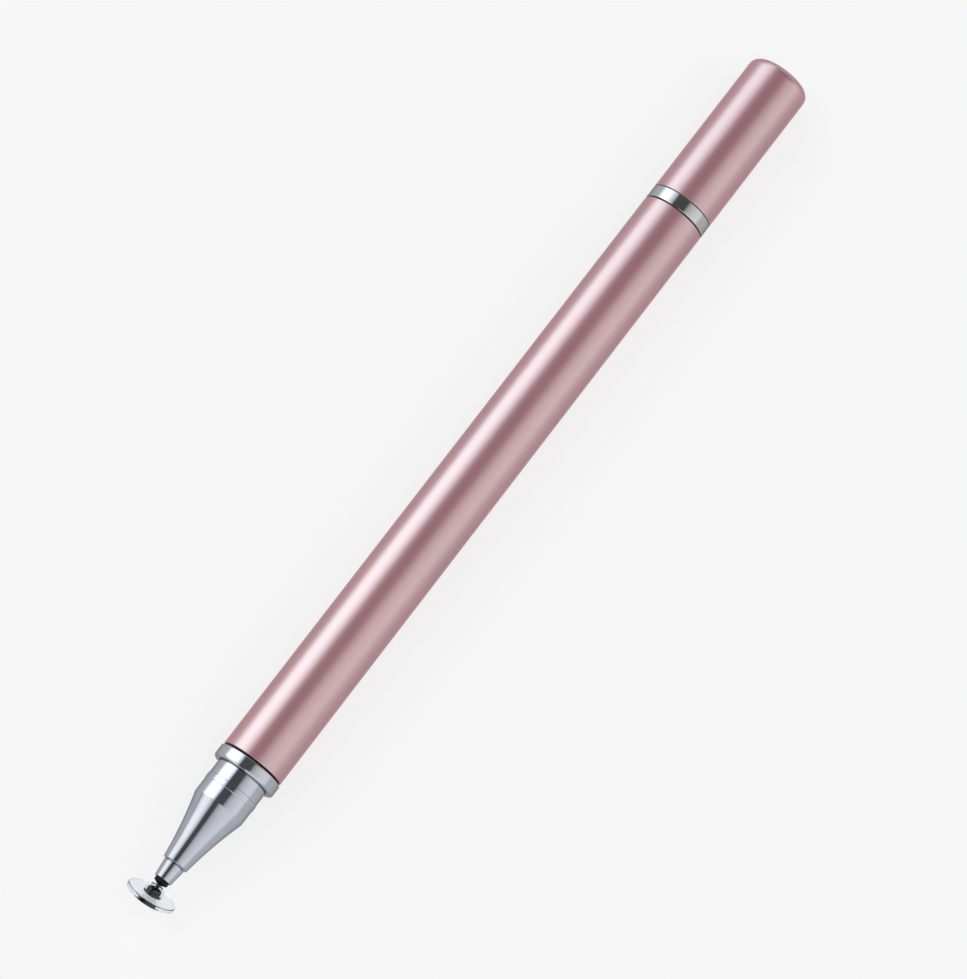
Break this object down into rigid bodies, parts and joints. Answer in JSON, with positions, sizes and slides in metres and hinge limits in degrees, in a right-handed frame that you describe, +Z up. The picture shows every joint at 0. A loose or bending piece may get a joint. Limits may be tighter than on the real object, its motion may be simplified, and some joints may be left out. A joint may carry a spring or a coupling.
{
  "type": "stylus pen",
  "caption": "Slim stylus pen with a satin rose metal barrel, bright stepped nose cone, clear tilting touch disc on a ball pin, and a pull-off cap behind a bright tail ring.",
  "frame": {"origin": "on the surface that the pen lies on, under the middle of its length", "axes": "+X along the pen from the touch disc to the cap, +Z up from the surface it lies on"},
  "size_m": [0.1394, 0.0092, 0.0092],
  "materials": {
    "rose_anodised": "bead-blasted and rose anodised, satin",
    "chrome": "bright plated brass",
    "turned_brass": "turned",
    "nickel_magnet": "nickel plated",
    "spring_steel": "drawn",
    "black_pin": "black plated, semi-gloss",
    "clear_disc": "clear moulded",
    "black_rubber": "matt",
    "black_liner": "moulded"
  },
  "bodies": {
    "pen": {"barrel_tube": "rose_anodised", "nose_cone": "chrome", "nose_magnet": "nickel_magnet", "front_gasket": "black_rubber", "front_bush": "turned_brass", "rear_bush": "turned_brass", "rear_gasket": "black_rubber", "tail_post": "chrome", "tail_magnet": "nickel_magnet"},
    "cap": {"cap_shell": "rose_anodised", "cap_keeper": "spring_steel", "cap_liner": "black_liner"},
    "tip_unit": {"tip_holder": "chrome", "holder_o_ring": "black_rubber", "tip_bush": "black_rubber"},
    "pin": {"ball_pin": "black_pin", "pin_collar": "spring_steel"},
    "disc": {"tip_disc": "clear_disc", "ball_cup": "black_rubber"}
  },
  "joints": [
    {"name": "cap_pull", "type": "slide", "parent": "pen", "child": "cap", "axis": [1, 0, 0], "range_m": [0, 0.03]},
    {"name": "tip_pull", "type": "slide", "parent": "pen", "child": "tip_unit", "axis": [-1, 0, 0], "range_m": [0, 0.01]},
    {"name": "pin_swivel", "type": "hinge", "parent": "tip_unit", "child": "pin", "pos_m": [-0.06724, 0, 0.00462], "axis": [1, 0, 0], "continuous": true},
    {"name": "disc_tilt", "type": "hinge", "parent": "pin", "child": "disc", "pos_m": [-0.06724, 0, 0.00462], "axis": [0, 1, 0], "range_deg": [0, 52]}
  ]
}
